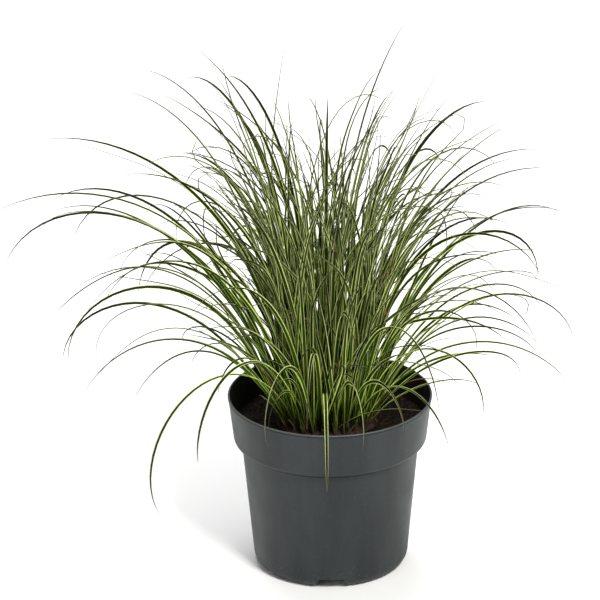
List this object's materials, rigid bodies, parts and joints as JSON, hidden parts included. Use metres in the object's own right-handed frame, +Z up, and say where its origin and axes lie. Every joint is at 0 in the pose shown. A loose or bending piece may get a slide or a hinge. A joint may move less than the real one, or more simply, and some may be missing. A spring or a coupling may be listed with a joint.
{
  "type": "potted ornamental grass clump",
  "caption": "Clump of fine variegated ornamental grass arching out of a round dark grey plastic nursery pot filled with potting mix.",
  "frame": {"origin": "middle of the pot's flat underside, on the pot's axis, in the plane that it stands on", "axes": "+Z up along the pot's axis; -Y is the front, where the first drainage channel is; +X to the right seen from the front"},
  "size_m": [0.5265, 0.5178, 0.5211],
  "materials": {
    "pot_plastic": "satin moulded plastic",
    "potting_mix": "moist crumbly peat and bark",
    "leaf_sheath": "dry papery red-brown leaf bases",
    "leaf": "smooth green leaf with pale cream margins"
  },
  "bodies": {
    "root": {"nursery_pot": "pot_plastic", "potting_mix": "potting_mix", "crown": "leaf_sheath", "shoot_01": "leaf", "shoot_02": "leaf", "shoot_03": "leaf", "shoot_04": "leaf", "shoot_05": "leaf", "shoot_06": "leaf", "shoot_07": "leaf", "shoot_08": "leaf", "shoot_09": "leaf", "shoot_10": "leaf", "shoot_11": "leaf", "shoot_12": "leaf", "shoot_13": "leaf", "shoot_14": "leaf", "shoot_15": "leaf", "shoot_16": "leaf", "shoot_17": "leaf", "shoot_18": "leaf", "shoot_19": "leaf", "shoot_20": "leaf", "shoot_21": "leaf", "shoot_22": "leaf", "shoot_23": "leaf", "shoot_24": "leaf", "shoot_25": "leaf", "shoot_26": "leaf", "shoot_27": "leaf", "shoot_28": "leaf", "shoot_29": "leaf", "shoot_30": "leaf", "shoot_31": "leaf", "shoot_32": "leaf", "shoot_33": "leaf", "shoot_34": "leaf", "shoot_35": "leaf", "shoot_36": "leaf", "shoot_37": "leaf", "shoot_38": "leaf", "shoot_39": "leaf", "shoot_40": "leaf", "shoot_41": "leaf", "shoot_42": "leaf", "shoot_43": "leaf", "shoot_44": "leaf", "shoot_45": "leaf", "shoot_46": "leaf", "shoot_47": "leaf", "shoot_48": "leaf", "shoot_49": "leaf", "shoot_50": "leaf", "shoot_51": "leaf", "shoot_52": "leaf", "shoot_53": "leaf", "shoot_54": "leaf", "shoot_55": "leaf", "shoot_56": "leaf", "shoot_57": "leaf"}
  },
  "joints": []
}
